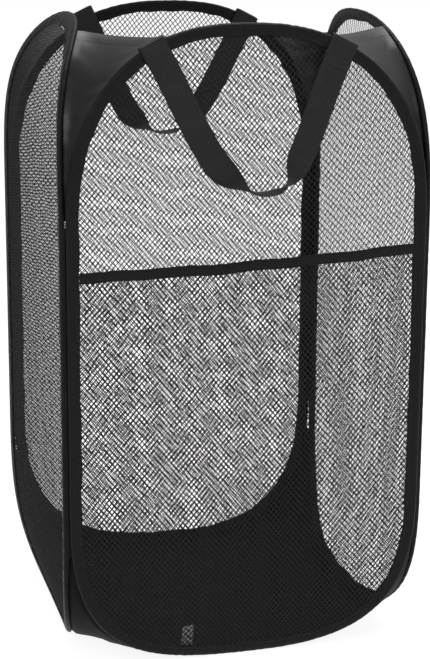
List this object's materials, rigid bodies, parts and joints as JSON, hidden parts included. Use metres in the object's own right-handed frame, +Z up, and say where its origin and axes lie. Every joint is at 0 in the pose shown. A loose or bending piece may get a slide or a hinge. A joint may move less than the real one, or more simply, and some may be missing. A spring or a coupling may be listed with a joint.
{
  "type": "pop up laundry hamper",
  "caption": "Tall square mesh hamper with an open top: sprung wire hoops in cloth channels, cloth corners and base, a mesh pocket on the front and webbing handles.",
  "frame": {"origin": "middle of the base's underside, on the floor", "axes": "+Z up; the wall with the pocket faces -Y; +X is to the right of someone who looks at that wall"},
  "size_m": [0.3468, 0.3728, 0.6],
  "materials": {
    "spring_steel": "drawn spring wire, hidden in the channels",
    "crimp_steel": "short pressed tube",
    "channel_fabric": "black polyester tape, stitched",
    "mesh_fabric": "black knitted polyester net with diamond gaps",
    "nylon_cloth": "thin black nylon with a slight sheen",
    "webbing": "black ribbed polypropylene webbing",
    "label_cloth": "pale woven label, blank"
  },
  "bodies": {
    "front_wall": {"front_hoop_wire": "spring_steel", "front_hoop_crimp": "crimp_steel", "front_hoop_channel": "channel_fabric", "front_mesh": "mesh_fabric", "pocket_mesh": "mesh_fabric", "pocket_hem": "channel_fabric", "label": "label_cloth", "front_handle_left_end": "webbing", "front_handle_right_end": "webbing", "front_left_corner_cloth": "nylon_cloth", "front_right_corner_cloth": "nylon_cloth"},
    "right_wall": {"right_hoop_wire": "spring_steel", "right_hoop_crimp": "crimp_steel", "right_hoop_channel": "channel_fabric", "right_mesh": "mesh_fabric", "back_right_corner_cloth": "nylon_cloth"},
    "back_wall": {"back_hoop_wire": "spring_steel", "back_hoop_crimp": "crimp_steel", "back_hoop_channel": "channel_fabric", "back_mesh": "mesh_fabric", "back_handle_left_end": "webbing", "back_handle_right_end": "webbing"},
    "left_wall": {"left_hoop_wire": "spring_steel", "left_hoop_crimp": "crimp_steel", "left_hoop_channel": "channel_fabric", "left_mesh": "mesh_fabric", "back_left_corner_cloth": "nylon_cloth"},
    "base": {"base_cloth": "nylon_cloth"},
    "front_handle": {"front_handle_loop": "webbing"},
    "back_handle": {"back_handle_loop": "webbing"}
  },
  "joints": [
    {"name": "hamper_fold", "type": "hinge", "parent": "front_wall", "child": "right_wall", "pos_m": [0.168, -0.168, 0], "axis": [0, 0, 1], "range_deg": [0, 60], "stiffness_Nm_per_rad": 0.3, "deforming": ["front_right_corner_cloth"]},
    {"name": "left_wall_fold", "type": "hinge", "parent": "front_wall", "child": "left_wall", "pos_m": [-0.168, -0.168, 0], "axis": [0, 0, 1], "range_deg": [0, 60], "deforming": ["front_left_corner_cloth", "back_left_corner_cloth"]},
    {"name": "back_wall_fold", "type": "hinge", "parent": "right_wall", "child": "back_wall", "pos_m": [0.168, 0.168, 0], "axis": [0, 0, 1], "range_deg": [-60, 0], "deforming": ["back_right_corner_cloth"]},
    {"name": "base_fold", "type": "hinge", "parent": "front_wall", "child": "base", "pos_m": [-0.168, -0.168, 0], "axis": [0, 0, 1], "range_deg": [0, 30], "deforming": ["base_cloth"]},
    {"name": "front_handle_swing", "type": "hinge", "parent": "front_wall", "child": "front_handle", "pos_m": [0, -0.1694, 0.5606], "axis": [-1, 0, 0], "range_deg": [0, 180]},
    {"name": "back_handle_swing", "type": "hinge", "parent": "back_wall", "child": "back_handle", "pos_m": [0, 0.1611, 0.5606], "axis": [-1, 0, 0], "range_deg": [0, 170]}
  ],
  "couplings": [
    {"joint": "left_wall_fold", "follows": "hamper_fold", "ratio": 1},
    {"joint": "back_wall_fold", "follows": "hamper_fold", "ratio": -1},
    {"joint": "base_fold", "follows": "hamper_fold", "ratio": 0.5}
  ]
}
